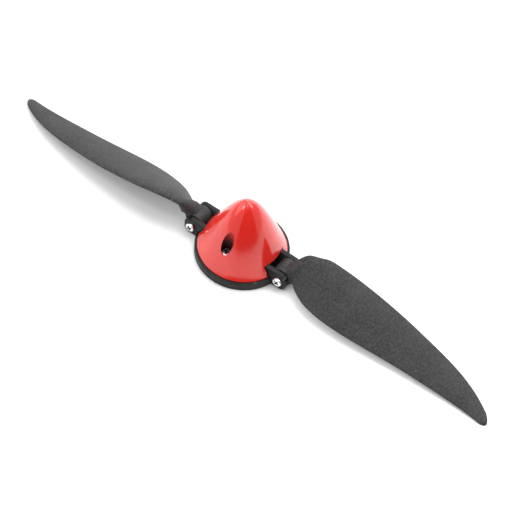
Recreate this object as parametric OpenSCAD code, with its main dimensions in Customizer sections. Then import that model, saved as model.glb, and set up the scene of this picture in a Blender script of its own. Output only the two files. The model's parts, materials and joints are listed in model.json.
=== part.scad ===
// Two-blade folding propeller with spinner for an electric sailplane.
// The spin axis is Z with the nose up. The origin is the centre of the yoke's rear face.
// The blades lie along X and each one folds back about a screw that runs along Y.

/* [Yoke] */
// Diameter of the yoke's round rim, which is the spinner's base size
rim_d = 40; // [38:0.1:50]
// Height of the rim, where the spinner sits
rim_h = 4; // [3:0.5:5]
// Wall of the rim
rim_wall = 2.4; // [2:0.2:4]
// Thickness of the yoke's round floor
floor_t = 1.8; // [1.2:0.1:2.4]
// How far outside the rim's edge the hinge screws lie
hinge_out = 2.25; // [1.5:0.05:4]
// Height of the blade knuckles' underside above the rear face
knuckle_foot = 0.55; // [0.3:0.05:1.2]
// Width of the slot between two lugs, which takes a blade root
slot_w = 7.7; // [6.4:0.1:9.3]
// Thickness of one lug
lug_t = 2.3; // [1.8:0.1:2.8]
// How far a lug reaches above its hinge screw
lug_top = 4.05; // [3.6:0.05:5]
// How far a lug reaches past its hinge screw
lug_reach = 3.5; // [3.2:0.1:4.2]
// Height of the lugs' underside above the rear face
lug_foot = 0.5; // [0:0.1:0.8]
// Wall of the centre boss around the clamping collar
boss_wall = 0.9; // [0.8:0.1:1.4]
// Height of the centre boss
boss_h = 12; // [10:0.5:14.5]
// Diameter of the two posts that take the spinner screws
post_d = 6; // [5:0.2:7]

/* [Spinner] */
// Height of the spinner above its seat on the rim
cone_h = 29.4; // [26:0.2:36]
// How far the spinner's base stands in from the edge of the rim
cone_inset = 0.7; // [0.3:0.1:1.2]
// Wall of the spinner
cone_wall = 1.3; // [1:0.1:1.8]
// Space between a post and the inside of the spinner
post_gap = 0.15; // [0.1:0.05:0.6]
// Space around a spinner screw's head in its well
well_gap = 0.35; // [0.2:0.05:0.8]
// Height of the bottom of the wells above the rear face
well_h = 11.5; // [10.6:0.1:12.5]
// Thickness of the spinner under a spinner screw's head
well_floor = 2.5; // [1.5:0.1:3]

/* [Blades] */
// Distance from the spin axis to a straightened blade's tip
tip_r = 123.6; // [100:0.1:150]
// Pitch, which is how far one turn would screw the blade forward
pitch = 165; // [130:1:200]
// Greatest width of the blade seen from the front
blade_w = 20.4; // [17:0.2:24]
// Thickness of the blade's section at its root, over its edge thickness
root_t = 3.3; // [2.7:0.1:4]
// Thickness of the blade's section at its tip, over its edge thickness
tip_t = 0.6; // [0.4:0.1:1]
// Thickness of the blade's rounded edges
edge_t = 0.4; // [0.3:0.05:0.6]
// Diameter of the blade's knuckle about the hinge screw
knuckle_d = 9; // [7:0.1:11]

/* [Hardware] */
// Diameter of the hinge screws
pin_d = 2; // [1.6:0.1:2.5]
// Diameter of all the screw heads
head_d = 4.2; // [3.4:0.1:5]
// Height of all the screw heads
head_h = 1.3; // [1.1:0.1:1.6]
// How far the hinge screws stand out of their nuts
pin_out = 0.3; // [0.2:0.1:3]
// Width across the flats of the hinge nuts
nut_af = 4; // [3.6:0.1:5]
// Height of the hinge nuts
nut_h = 2.8; // [2.4:0.1:3.2]
// Depth of the six-sided pockets in the lugs that hold the hinge nuts
pocket_h = 1.6; // [1:0.1:1.8]
// Diameter of the spinner screws
tap_d = 2.2; // [2:0.1:2.6]
// Length of the spinner screws under the head
tap_len = 9; // [7:0.5:9.5]

/* [Drive] */
// Diameter of the motor shaft that the collet grips
shaft_d = 4; // [3:0.1:4.2]
// Depth of the collet's bore
shaft_depth = 15; // [12:0.5:16]
// Diameter of the collet's threaded stem
stem_d = 6; // [5.6:0.1:6.4]
// How far the stem stands out of the spindle nut
stem_out = 1.5; // [0.5:0.1:4]
// Diameter of the collet's cone at its wide end
cone_wide_d = 9; // [8.4:0.1:9.6]
// Diameter of the clamping collar
collar_d = 13; // [12.4:0.1:13.4]
// Height of the clamping collar
collar_h = 5; // [4:0.1:6]
// Width across the flats of the spindle nut
stem_nut_af = 10; // [9:0.5:11]
// Height of the spindle nut
stem_nut_h = 5; // [4:0.1:5.5]

/* [Hidden] */

// Clearances
pin_gap = 0.05;         // hinge screw in the lugs and knuckles, on the radius
side_gap = 0.25;        // knuckle in its slot, each side
cut_gap = 0.25;         // spinner cut-out over the top of the lugs
cut_side_gap = 0.45;    // spinner cut-out beside the lugs
swing_gap = 1.0;        // blade root around the lugs as it folds
seat_gap = 0.15;        // spigot inside the spinner
bore_gap = 0.1;         // stem in the boss, collar in its recess, on the radius
tap_gap = 0.02;         // spinner screw in its post, on the radius
pocket_gap = 0.05;      // hinge nut in its pocket, each side
over = 1;               // how far a cut runs past a face

rim_r = rim_d / 2;
hinge_x = rim_r + hinge_out;
hinge_h = knuckle_d / 2 + knuckle_foot;
cone_r = rim_r - cone_inset;
slot_y = slot_w / 2;
lug_y = slot_y + lug_t;
lug_x = hinge_x + lug_reach;
lug_h = hinge_h + lug_top;
lug_round_top = 3.4;
lug_round_low = 2.8;
boss_d = collar_d + 2 * (bore_gap + boss_wall);
slot_in_x = boss_d / 2 + 3.5;                // inner end of the slot, under the spinner
slot_open_x = hinge_x - knuckle_d / 2 - 1;   // from here out the slot goes through the floor
spigot_h = 1.2;
spigot_wall = 1.2;
cut_h = lug_h + cut_gap;
cut_y = lug_y + cut_side_gap;
cut_x = boss_d / 2 + 1.5;
post_h = well_h - well_floor;
well_d = head_d + 2 * well_gap;
column_wall = 1.2;
column_d = well_d + 2 * column_wall;
pilot_end = 0.5;        // a pilot hole runs on past its screw by this much
ledge_t = 0.8;          // the rim's inside steps in by this much below the spinner
nut_seat_y = lug_y - pocket_h;
pin_len = lug_y + nut_seat_y + nut_h + pin_out;
stem_washer_t = 1;
stem_washer_d = stem_nut_af + 2;
stem_top = boss_h + stem_washer_t + stem_nut_h + stem_out;
slit_w = 0.6;
slit_h = 8;
crown = 0.55;           // the bevelled top of a screw head
recess_w = head_d / 8;  // one arm of a cross recess
recess_l = 0.55 * head_d;
recess_h = head_h - crown;
lip_t = 0.8;            // nylon insert of a lock nut
insert_d = pin_d + 0.9;
lip_d = nut_af - 0.3;

// Spinner outline: the radius at a share u of the height, from the seat to the nose
cone_bow = 0.86;
cone_nose = 0.6;
cone_steps = 36;
function cone_radius(u) = pow(max(0, 1 - pow(u, cone_bow)), cone_nose);
// Steps bunch towards the nose, where the outline turns fastest
function cone_share(i) = 1 - pow(1 - i / cone_steps, 2);
function cone_outline(r, h) = [
    for (i = [0 : cone_steps]) [r * cone_radius(cone_share(i)), h * cone_share(i)]
];
// Radius of the spinner's outside at a height z above the rear face
function cone_at(z) = cone_r * cone_radius((z - rim_h) / cone_h);
inner_r = cone_r - cone_wall;
inner_h = cone_h - 1.6 * cone_wall;     // the nose is thicker than the wall
// and of its inside, which the posts stand clear of at their tops
function inner_at(z) = inner_r * cone_radius((z - rim_h) / inner_h);
post_y = inner_at(post_h) - post_gap - post_d / 2;

// Blade plan: [share of the span, leading edge, trailing edge, share of the pitch]
// with both edges as shares of blade_w
PLAN = [
    [0.00, 0.200, -0.150, 1.10],
    [0.06, 0.305, -0.235, 1.05],
    [0.10, 0.355, -0.345, 0.99],
    [0.14, 0.410, -0.440, 0.96],
    [0.20, 0.435, -0.510, 0.95],
    [0.28, 0.452, -0.545, 0.95],
    [0.38, 0.445, -0.535, 0.98],
    [0.50, 0.410, -0.492, 1.00],
    [0.62, 0.335, -0.455, 1.03],
    [0.74, 0.240, -0.435, 1.03],
    [0.83, 0.130, -0.427, 1.04],
    [0.91, -0.025, -0.433, 1.05],
    [0.97, -0.190, -0.455, 1.06],
    [1.00, -0.290, -0.470, 1.06]
];
plan_last = len(PLAN) - 1;
cap_u = 0.972;          // the rounded tip starts here
te_lift = 0.75;         // the trailing edge bows forward by this much at mid span
root_gap = 0.1;         // the root stands in from the ends of its knuckle
knuckle_skin = 0.2;     // and in from the knuckle's round
neck_start = -0.5;      // the root leaves the knuckle this far past the hinge
neck_low = 3.4;         // its underside starts to turn into blade here
neck_end = 7;           // the root is fully a blade here
neck_climb = 1.2;       // how steeply its leading corner climbs
neck_level = 0.12;      // share of that climb at its trailing corner
neck_lift = 0.4;        // how steeply its underside climbs
neck_spread = 3.8;      // how much wider it grows, each side
neck_corner = 0.45;     // squareness of the neck, where 1 is an ellipse
neck_ridge = 135;       // the neck's upper corner, in degrees, that becomes the leading edge
shoulder_slope = 1.6;   // how fast the root may widen outside the lugs' sweep
camber = 0.035;
edge_square = 12;       // how squarely the blade's edges are rounded
stations = 44;
around = 40;
root_y = slot_y - side_gap - root_gap;

// The farthest that a lug's lower corner lies from the hinge
lug_sweep = norm([lug_reach - lug_round_low, hinge_h - lug_foot - lug_round_low]) + lug_round_low;
// and the rim's lower corner beside the slot, which the root's underside passes
rim_sweep = norm([hinge_x - sqrt(rim_r * rim_r - slot_y * slot_y), hinge_h]);

function slope(i, k) =
    let (a = max(0, i - 1), b = min(plan_last, i + 1))
    (PLAN[b][k] - PLAN[a][k]) / (PLAN[b][0] - PLAN[a][0]);
function find(u, i = 0) = (i >= plan_last - 1 || u <= PLAN[i + 1][0]) ? i : find(u, i + 1);
// Smooth curve through the plan's points
function edge(u, k) =
    let (
        i = find(u),
        w = PLAN[i + 1][0] - PLAN[i][0],
        t = (u - PLAN[i][0]) / w
    )
    PLAN[i][k] * (1 + 2 * t) * pow(1 - t, 2) + PLAN[i + 1][k] * t * t * (3 - 2 * t)
    + w * (slope(i, k) * t * pow(1 - t, 2) - slope(i + 1, k) * t * t * (1 - t));
// Half width left in the rounded tip
function cap(u) = u <= cap_u ? 1 : sqrt(max(0, 1 - pow((u - cap_u) / (1 - cap_u), 2)));
function smooth(t) = let (s = min(1, max(0, t))) s * s * (3 - 2 * s);
// Eases a value off as it nears a limit
function soft(v, limit) = v / pow(1 + pow(abs(v) / limit, 8), 1 / 8);
function power(v, p) = sign(v) * pow(abs(v), p);
function half_thickness(c) =
    5 * (0.2969 * sqrt(c) - 0.126 * c - 0.3516 * c * c + 0.2843 * pow(c, 3) - 0.1015 * pow(c, 4));

// One point of the blade's skin, d past the hinge and a degrees round the section
function skin(d, a) =
    let (
        span = tip_r - hinge_x,
        u = d / span,
        mid = blade_w * (edge(u, 1) + edge(u, 2)) / 2,
        half = blade_w * (edge(u, 1) - edge(u, 2)) / 2 * cap(u),
        lead = mid + half,
        trail = mid - half,
        turn = atan(pitch * edge(u, 3) / (2 * PI * (hinge_x + d))),
        chord = (lead - trail) / cos(turn),
        c = (1 + cos(a)) / 2,
        thick = (tip_t + (root_t - tip_t) * pow(1 - u, 1.4)) * sqrt(cap(u)),
        bow = 4 * camber * c * (1 - c) * chord,
        edge_half = edge_t / 2 * sqrt(1 - pow(cos(a), edge_square)) * sqrt(cap(u)),
        off = bow + (sin(a) >= 0 ? 1 : -1) * (half_thickness(c) * thick + edge_half),
        fy = lead - (lead - trail) * c - off * sin(turn),
        fz = te_lift * sin(180 * u) + (lead - trail) * (1 - c) * tan(turn) + off * cos(turn),
        low = (1 - sin(a)) / 2,
        begin = neck_start + (neck_low - neck_start) * low,
        k = smooth((d - begin) / (neck_end - begin)),
        past = d - neck_start,
        b = a <= 180 ? a * neck_ridge / 180 : neck_ridge + (a - 180) * (2 - neck_ridge / 180),
        across = -power(cos(b), neck_corner),
        up = power(sin(b), neck_corner),
        core = knuckle_d / 2 - knuckle_skin,
        climb = neck_climb * past * (neck_level + (1 - neck_level) * (1 + across) / 2),
        ny = across * (root_y + neck_spread * smooth(d / neck_end)),
        nz = up * (up > 0 ? core + climb : core - neck_lift * past),
        y = ny + (fy - ny) * k,
        z = nz + (fz - nz) * k,
        below = smooth(-z / 1.5) * max(0, rim_sweep - lug_sweep),
        sweep = norm([d, z]) - lug_sweep - below - swing_gap,
        limit = root_y + max(0, sweep) * shoulder_slope
    )
    [d, soft(y, limit), z];

// Stations bunch at the root and at the tip
function station(i) =
    let (t = i / (stations - 1), span = tip_r - hinge_x - neck_start)
    neck_start + span * (t < 0.4 ? 0.16 * pow(t / 0.4, 1.6)
        : 0.16 + 0.84 * (1 - pow(1 - (t - 0.4) / 0.6, 1.5)));

// How far a blade droops from straight until its tip all but rests on the table
tip_gap = 0.3;
droop = asin((hinge_h - tip_gap) / (tip_r - hinge_x));

module blade_skin() {
    rings = [
        for (i = [0 : stations - 1])
            for (j = [0 : around - 1]) skin(station(i), 360 * j / around)
    ];
    walls = [
        for (i = [0 : stations - 2])
            for (j = [0 : around - 1])
                let (
                    a = i * around + j,
                    b = i * around + (j + 1) % around
                )
                each [[a, b, b + around], [a, b + around, a + around]]
    ];
    root_face = [for (j = [around - 1 : -1 : 0]) j];
    tip_face = [for (j = [0 : around - 1]) (stations - 1) * around + j];
    polyhedron(rings, concat(walls, [root_face, tip_face]));
}

// A blade with its hinge at the origin, straight out along X
module blade() {
    knuckle_w = slot_w - 2 * side_gap;
    difference() {
        union() {
            rotate([90, 0, 0]) cylinder(h = knuckle_w, d = knuckle_d, center = true, $fn = 96);
            blade_skin();
        }
        rotate([90, 0, 0])
            cylinder(h = slot_w + 2 * over, d = pin_d + 2 * pin_gap, center = true, $fn = 64);
    }
}

module blade_right() {
    color([0.16, 0.16, 0.17]) translate([hinge_x, 0, hinge_h]) rotate([0, droop, 0]) blade();
}

module blade_left() {
    color([0.16, 0.16, 0.17]) rotate([0, 0, 180]) translate([hinge_x, 0, hinge_h])
        rotate([0, droop, 0]) blade();
}

// Side view of the two lugs on one side of the slot, joined through the middle
module lug_outline() {
    for (side = [-1, 1]) {
        scale([side, 1]) {
            difference() {
                translate([0, lug_foot]) square([lug_x, lug_h - lug_foot]);
                translate([lug_x - lug_round_top, lug_h - lug_round_top])
                    square([lug_round_top + over, lug_round_top + over]);
                translate([lug_x - lug_round_low, -over])
                    square([lug_round_low + over, lug_foot + lug_round_low + over]);
            }
            translate([lug_x - lug_round_top, lug_h - lug_round_top])
                circle(r = lug_round_top, $fn = 64);
            translate([lug_x - lug_round_low, lug_foot + lug_round_low])
                circle(r = lug_round_low, $fn = 64);
        }
    }
}

module lugs() {
    for (side = [-1, 1]) {
        translate([0, side * (slot_y + lug_t / 2), 0]) rotate([90, 0, 0])
            linear_extrude(height = lug_t, center = true) lug_outline();
    }
}

module yoke_backplate() {
    spigot_r = cone_at(rim_h + spigot_h) - cone_wall - seat_gap;
    rim_in = rim_r - rim_wall;
    collar_r = collar_d / 2 + bore_gap;
    color([0.13, 0.13, 0.14]) difference() {
        union() {
            cylinder(h = floor_t, r = rim_r, $fn = 160);
            difference() {
                union() {
                    cylinder(h = rim_h, r = rim_r, $fn = 160);
                    cylinder(h = rim_h + spigot_h, r = spigot_r, $fn = 160);
                }
                translate([0, 0, -over])
                    cylinder(h = rim_h + spigot_h + 2 * over, r = spigot_r - spigot_wall, $fn = 160);
                translate([0, 0, -over])
                    cylinder(h = rim_h + over - ledge_t, r = rim_in, $fn = 160);
            }
            lugs();
            cylinder(h = boss_h, d = boss_d, $fn = 96);
            for (side = [-1, 1]) {
                translate([0, side * post_y, 0]) cylinder(h = post_h, d = post_d, $fn = 64);
            }
        }
        // stem bore and the recess of the clamping collar
        translate([0, 0, -over])
            cylinder(h = boss_h + 2 * over, d = stem_d + 2 * bore_gap, $fn = 64);
        translate([0, 0, -over]) cylinder(h = collar_h + over, r = collar_r, $fn = 96);
        for (side = [-1, 1]) {
            // slot for the blade root, open through the floor near the hinge
            translate([side * (slot_open_x + rim_r) - rim_r, -slot_y, -over])
                cube([2 * rim_r, slot_w, rim_h + spigot_h + 2 * over]);
            translate([side * (slot_in_x + rim_r) - rim_r, -slot_y, floor_t])
                cube([2 * rim_r, slot_w, lug_h]);
            // hinge screw bores
            translate([side * hinge_x, 0, hinge_h]) rotate([90, 0, 0])
                cylinder(h = 2 * lug_y + 2 * over, d = pin_d + 2 * pin_gap, center = true, $fn = 64);
            // pockets of the hinge nuts
            translate([side * hinge_x, nut_seat_y, hinge_h]) rotate([-90, 0, 0])
                cylinder(h = pocket_h + over, d = (nut_af + 2 * pocket_gap) / cos(30), $fn = 6);
            // pilot holes of the spinner screws
            translate([0, side * post_y, well_h - tap_len - pilot_end])
                cylinder(h = tap_len + over, d = tap_d + 2 * tap_gap, $fn = 48);
        }
    }
}

module spinner_cone() {
    color([0.84, 0.12, 0.10]) difference() {
        translate([0, 0, rim_h]) rotate_extrude($fn = 160)
            polygon(concat([[0, 0]], cone_outline(cone_r, cone_h)));
        difference() {
            translate([0, 0, rim_h]) rotate_extrude($fn = 160)
                polygon(concat([[0, -over], [inner_r, -over]], cone_outline(inner_r, inner_h)));
            for (side = [-1, 1]) {
                translate([0, side * post_y, post_h]) cylinder(h = cone_h, d = column_d, $fn = 64);
            }
        }
        for (side = [-1, 1]) {
            translate([0, side * post_y, well_h]) cylinder(h = cone_h, d = well_d, $fn = 64);
            translate([0, side * post_y, post_h - over])
                cylinder(h = well_h, d = tap_d + 2 * tap_gap, $fn = 48);
            translate([side * (cut_x + rim_r) - rim_r, -cut_y, rim_h - over])
                cube([2 * rim_r, 2 * cut_y, cut_h - rim_h + over]);
        }
    }
}

// A round-headed screw with a cross recess, its shank down -Z from the origin
module screw(shank_d, length) {
    difference() {
        union() {
            translate([0, 0, -length]) cylinder(h = length, d = shank_d, $fn = 64);
            cylinder(h = head_h - crown, d = head_d, $fn = 64);
            translate([0, 0, head_h - crown])
                cylinder(h = crown, d1 = head_d, d2 = head_d - 2 * crown, $fn = 64);
        }
        for (turn = [0, 90]) {
            rotate([0, 0, turn]) translate([-recess_l / 2, -recess_w / 2, head_h - recess_h])
                cube([recess_l, recess_w, recess_h + over]);
        }
    }
}

module hinge_screw(side) {
    color([0.78, 0.78, 0.80]) translate([side * hinge_x, -lug_y, hinge_h]) rotate([90, 0, 0])
        screw(pin_d, pin_len);
}

module hinge_nut(side) {
    color([0.78, 0.78, 0.80]) translate([side * hinge_x, nut_seat_y, hinge_h])
        rotate([-90, 0, 0]) difference() {
            union() {
                cylinder(h = nut_h - lip_t, d = nut_af / cos(30), $fn = 6);
                cylinder(h = nut_h, d = lip_d, $fn = 64);
            }
            translate([0, 0, -over]) cylinder(h = nut_h + over, d = pin_d + 2 * tap_gap, $fn = 64);
            translate([0, 0, nut_h - lip_t]) cylinder(h = lip_t + over, d = insert_d, $fn = 64);
        }
}

module nut_insert(side) {
    color([0.90, 0.90, 0.86]) translate([side * hinge_x, nut_seat_y + nut_h - lip_t, hinge_h])
        rotate([-90, 0, 0]) difference() {
            cylinder(h = lip_t, d = insert_d, $fn = 64);
            translate([0, 0, -over])
                cylinder(h = lip_t + 2 * over, d = pin_d + 2 * tap_gap, $fn = 64);
        }
}

module hinge_screw_right() { hinge_screw(1); }
module hinge_screw_left() { hinge_screw(-1); }
module hinge_nut_right() { hinge_nut(1); }
module hinge_nut_left() { hinge_nut(-1); }
module nut_insert_right() { nut_insert(1); }
module nut_insert_left() { nut_insert(-1); }

module spinner_screw(side) {
    color([0.78, 0.78, 0.80]) translate([0, side * post_y, well_h]) screw(tap_d, tap_len);
}

module spinner_screw_front() { spinner_screw(-1); }
module spinner_screw_back() { spinner_screw(1); }

module collet_spindle() {
    color([0.72, 0.73, 0.75]) difference() {
        union() {
            cylinder(h = collar_h, d1 = cone_wide_d, d2 = stem_d, $fn = 96);
            cylinder(h = stem_top, d = stem_d, $fn = 96);
        }
        translate([0, 0, -over]) cylinder(h = shaft_depth + over, d = shaft_d, $fn = 64);
        for (turn = [0 : 120 : 240]) {
            rotate([0, 0, turn + 90]) translate([0, -slit_w / 2, -over])
                cube([cone_wide_d, slit_w, slit_h + over]);
        }
    }
}

module clamp_collar() {
    color([0.62, 0.63, 0.66]) difference() {
        cylinder(h = collar_h, d = collar_d, $fn = 96);
        cylinder(h = collar_h, d1 = cone_wide_d, d2 = stem_d, $fn = 96);
    }
}

module spindle_washer() {
    color([0.78, 0.78, 0.80]) translate([0, 0, boss_h]) difference() {
        cylinder(h = stem_washer_t, d = stem_washer_d, $fn = 96);
        translate([0, 0, -over])
            cylinder(h = stem_washer_t + 2 * over, d = stem_d + 2 * bore_gap, $fn = 96);
    }
}

module spindle_nut() {
    color([0.78, 0.78, 0.80]) translate([0, 0, boss_h + stem_washer_t]) difference() {
        cylinder(h = stem_nut_h, d = stem_nut_af / cos(30), $fn = 6);
        translate([0, 0, -over])
            cylinder(h = stem_nut_h + 2 * over, d = stem_d + 2 * tap_gap, $fn = 96);
    }
}

yoke_backplate();
spinner_cone();
blade_right();
blade_left();
hinge_screw_right();
hinge_screw_left();
hinge_nut_right();
hinge_nut_left();
nut_insert_right();
nut_insert_left();
spinner_screw_front();
spinner_screw_back();
collet_spindle();
clamp_collar();
spindle_washer();
spindle_nut();
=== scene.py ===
import json
import math

import bmesh
import bpy
import numpy as np
from mathutils import Matrix, Vector


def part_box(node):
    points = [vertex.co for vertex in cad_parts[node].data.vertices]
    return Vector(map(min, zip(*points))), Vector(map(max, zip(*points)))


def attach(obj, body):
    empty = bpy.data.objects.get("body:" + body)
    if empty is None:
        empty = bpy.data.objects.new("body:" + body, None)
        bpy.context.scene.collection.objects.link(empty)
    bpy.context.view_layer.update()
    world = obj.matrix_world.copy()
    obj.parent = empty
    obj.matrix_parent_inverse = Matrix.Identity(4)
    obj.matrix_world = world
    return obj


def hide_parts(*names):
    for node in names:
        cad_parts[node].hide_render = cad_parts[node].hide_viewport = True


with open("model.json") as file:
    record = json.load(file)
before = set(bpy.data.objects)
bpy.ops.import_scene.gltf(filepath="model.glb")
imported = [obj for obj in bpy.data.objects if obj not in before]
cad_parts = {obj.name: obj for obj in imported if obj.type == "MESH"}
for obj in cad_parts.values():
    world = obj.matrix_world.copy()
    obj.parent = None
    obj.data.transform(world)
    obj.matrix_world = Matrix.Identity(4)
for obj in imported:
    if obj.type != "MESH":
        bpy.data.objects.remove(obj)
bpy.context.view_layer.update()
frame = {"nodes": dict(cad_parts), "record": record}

mm = 0.001
nodes = frame["nodes"]

# where the hinges, the rim and the spinner are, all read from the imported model
hingeSpots = {j["name"]: Vector(j["pos_m"]) for j in frame["record"]["behaviour"]["joints"]}
rightHinge = hingeSpots["right_blade_fold"]
leftHinge = hingeSpots["left_blade_fold"]
hingeX = rightHinge.x
hingeHeight = rightHinge.z
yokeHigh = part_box("yoke_backplate")[1]
spinnerLow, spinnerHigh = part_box("spinner_cone")
rimRadius = yokeHigh.y
rimTop = spinnerLow.z
rightScrewLow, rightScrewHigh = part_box("hinge_screw_right")
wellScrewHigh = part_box("spinner_screw_front")[1]
nutLow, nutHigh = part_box("hinge_nut_right")
insertLow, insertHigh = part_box("nut_insert_right")
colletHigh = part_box("collet_spindle")[1]
collarLow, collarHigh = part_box("clamp_collar")
print("frame: rim radius %.2f mm, hinges at x = %.2f mm" % (rimRadius / mm, hingeX / mm))


# mesh helpers

def newPiece(name, mesh):
    piece = bpy.data.objects.new(name, mesh)
    bpy.context.scene.collection.objects.link(piece)
    return piece


def pieceFrom(name, points, faces):
    mesh = bpy.data.meshes.new(name)
    mesh.from_pydata([tuple(p) for p in points], [], [tuple(f) for f in faces])
    mesh.validate()
    piece = newPiece(name, mesh)
    faceOutward(piece)
    return piece


def faceOutward(piece):
    bm = bmesh.new()
    bm.from_mesh(piece.data)
    bmesh.ops.recalc_face_normals(bm, faces=bm.faces)
    bm.to_mesh(piece.data)
    bm.free()


def settle(piece):
    # bakes the modifiers into the mesh
    graph = bpy.context.evaluated_depsgraph_get()
    shaped = bpy.data.meshes.new_from_object(piece.evaluated_get(graph))
    piece.modifiers.clear()
    piece.data = shaped


def solid(piece, other, how):
    step = piece.modifiers.new("solid", "BOOLEAN")
    step.operation = how
    step.solver = "EXACT"
    step.object = other
    settle(piece)
    bpy.data.objects.remove(other)


def joined(piece, *others):
    for other in others:
        solid(piece, other, "UNION")


def carved(piece, *tools):
    for tool in tools:
        solid(piece, tool, "DIFFERENCE")


def turned(name, outline, turns=128):
    # spins a closed outline of (radius, height) about Z; points on the axis are shared
    points, rings = [], []
    for radius, height in outline:
        if radius < 1e-9:
            rings.append([len(points)])
            points.append((0, 0, height))
        else:
            rings.append(list(range(len(points), len(points) + turns)))
            for i in range(turns):
                angle = 2 * math.pi * i / turns
                points.append((radius * math.cos(angle), radius * math.sin(angle), height))
    faces = []
    for a, b in zip(rings, rings[1:] + rings[:1]):
        for i in range(turns):
            k = (i + 1) % turns
            if len(a) > 1 and len(b) > 1:
                faces.append((a[i], a[k], b[k], b[i]))
            elif len(a) > 1:
                faces.append((a[i], a[k], b[0]))
            elif len(b) > 1:
                faces.append((a[0], b[k], b[i]))
    return pieceFrom(name, points, faces)


def rounded(outline, radius, steps=4):
    # rounds each corner of a closed outline of (x, y) points
    result = []
    count = len(outline)
    for i in range(count):
        before, here, after = (Vector(outline[(i + k) % count]) for k in (-1, 0, 1))
        toBefore, toAfter = before - here, after - here
        reach = min(radius, toBefore.length / 2.05, toAfter.length / 2.05)
        start = here + toBefore.normalized() * reach
        end = here + toAfter.normalized() * reach
        for k in range(steps + 1):
            t = k / steps
            spot = start * (1 - t) ** 2 + here * 2 * t * (1 - t) + end * t ** 2
            result.append((spot.x, spot.y))
    return result


def slab(name, outline, thick, rounding=0.0, steps=3):
    # a plate with that outline, from 0 to thick along Z, with its rims rounded over
    bm = bmesh.new()
    base = bm.faces.new([bm.verts.new((x, y, 0)) for x, y in outline])
    top = bmesh.ops.extrude_face_region(bm, geom=[base])["geom"]
    for v in top:
        if isinstance(v, bmesh.types.BMVert):
            v.co.z = thick
    bmesh.ops.recalc_face_normals(bm, faces=bm.faces)
    if rounding > 0:
        rims = [e for e in bm.edges if e.calc_face_angle(0) > math.radians(50)]
        bmesh.ops.bevel(bm, geom=rims, offset=rounding, offset_type="OFFSET", segments=steps,
                        profile=0.5, affect="EDGES", clamp_overlap=True)
    mesh = bpy.data.meshes.new(name)
    bm.to_mesh(mesh)
    bm.free()
    return newPiece(name, mesh)


def block(name, low, high):
    outline = [(low[0], low[1]), (high[0], low[1]), (high[0], high[1]), (low[0], high[1])]
    piece = slab(name, outline, high[2] - low[2])
    piece.data.transform(Matrix.Translation((0, 0, low[2])))
    return piece


def rod(name, radius, low, high, turns=64):
    return turned(name, [(0, low), (radius, low), (radius, high), (0, high)], turns)


def shifted(piece, matrix):
    piece.data.transform(matrix)
    return piece


def softShading(piece, sharpFrom=32):
    mesh = piece.data
    mesh.shade_smooth()
    mesh.set_sharp_from_angle(angle=math.radians(sharpFrom))
    return piece


def dress(piece, *paints):
    piece.data.materials.clear()
    for paint in paints:
        piece.data.materials.append(paint)


def mount(piece, body, slotName, *nodeNames):
    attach(piece, body)
    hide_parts(*nodeNames)


alongY = Matrix.Rotation(math.radians(90), 4, "X")          # local Z becomes -Y
alongBackY = Matrix.Rotation(math.radians(-90), 4, "X")     # local Z becomes +Y
halfTurn = Matrix.Rotation(math.pi, 4, "Z")


# material helpers

def newPaint(name):
    paint = bpy.data.materials.new(name)
    paint.use_nodes = True
    tree = paint.node_tree
    shader = tree.nodes["Principled BSDF"]
    spots = tree.nodes.new("ShaderNodeTexCoord").outputs["Object"]
    return paint, tree, shader, spots


def mottle(tree, spots, size, detail=3.0, rough=0.55, warp=0.0):
    # noise whose lumps are about this many metres across
    node = tree.nodes.new("ShaderNodeTexNoise")
    node.inputs["Scale"].default_value = 1 / size
    node.inputs["Detail"].default_value = detail
    node.inputs["Roughness"].default_value = rough
    node.inputs["Distortion"].default_value = warp
    tree.links.new(spots, node.inputs["Vector"])
    return node.outputs["Fac"]


def stretch(tree, spots, along):
    node = tree.nodes.new("ShaderNodeMapping")
    node.inputs["Scale"].default_value = along
    tree.links.new(spots, node.inputs["Vector"])
    return node.outputs["Vector"]


def blendOf(tree, share, first, second):
    # runs from one colour or number to another as share goes from 0 to 1
    node = tree.nodes.new("ShaderNodeMix")
    node.clamp_factor = True
    tree.links.new(share, node.inputs["Factor"])
    isColour = not all(isinstance(v, (int, float)) for v in (first, second))
    node.data_type = "RGBA" if isColour else "FLOAT"
    ends = ("A_Color", "B_Color") if isColour else ("A_Float", "B_Float")
    for value, end in zip((first, second), ends):
        socket = next(s for s in node.inputs if s.identifier == end)
        if isinstance(value, bpy.types.NodeSocket):
            tree.links.new(value, socket)
        elif isColour:
            socket.default_value = (*value, 1)
        else:
            socket.default_value = value
    return next(s for s in node.outputs if s.identifier == ("Result_Color" if isColour else "Result_Float"))


def spanOf(tree, value, low, high, fromLow=0.0, fromHigh=1.0):
    node = tree.nodes.new("ShaderNodeMapRange")
    node.interpolation_type = "SMOOTHSTEP"
    tree.links.new(value, node.inputs["Value"])
    node.inputs["From Min"].default_value = low
    node.inputs["From Max"].default_value = high
    node.inputs["To Min"].default_value = fromLow
    node.inputs["To Max"].default_value = fromHigh
    return node.outputs["Result"]


def relief(tree, height, strength, depth, under=None):
    node = tree.nodes.new("ShaderNodeBump")
    node.inputs["Strength"].default_value = strength
    node.inputs["Distance"].default_value = depth
    tree.links.new(height, node.inputs["Height"])
    if under is not None:
        tree.links.new(under, node.inputs["Normal"])
    return node.outputs["Normal"]


def feed(tree, value, shader, socket):
    tree.links.new(value, shader.inputs[socket])


def twoTone(tree, pattern, first, second, low=0.3, high=0.7):
    # one colour or number where the pattern is low and another where it is high
    return blendOf(tree, spanOf(tree, pattern, low, high), first, second)


def edgeWear(tree, low=0.52, high=0.60):
    # 1 on proud edges, 0 on flats
    return spanOf(tree, tree.nodes.new("ShaderNodeNewGeometry").outputs["Pointiness"], low, high)


# finishes, each with its own dictionary

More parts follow.
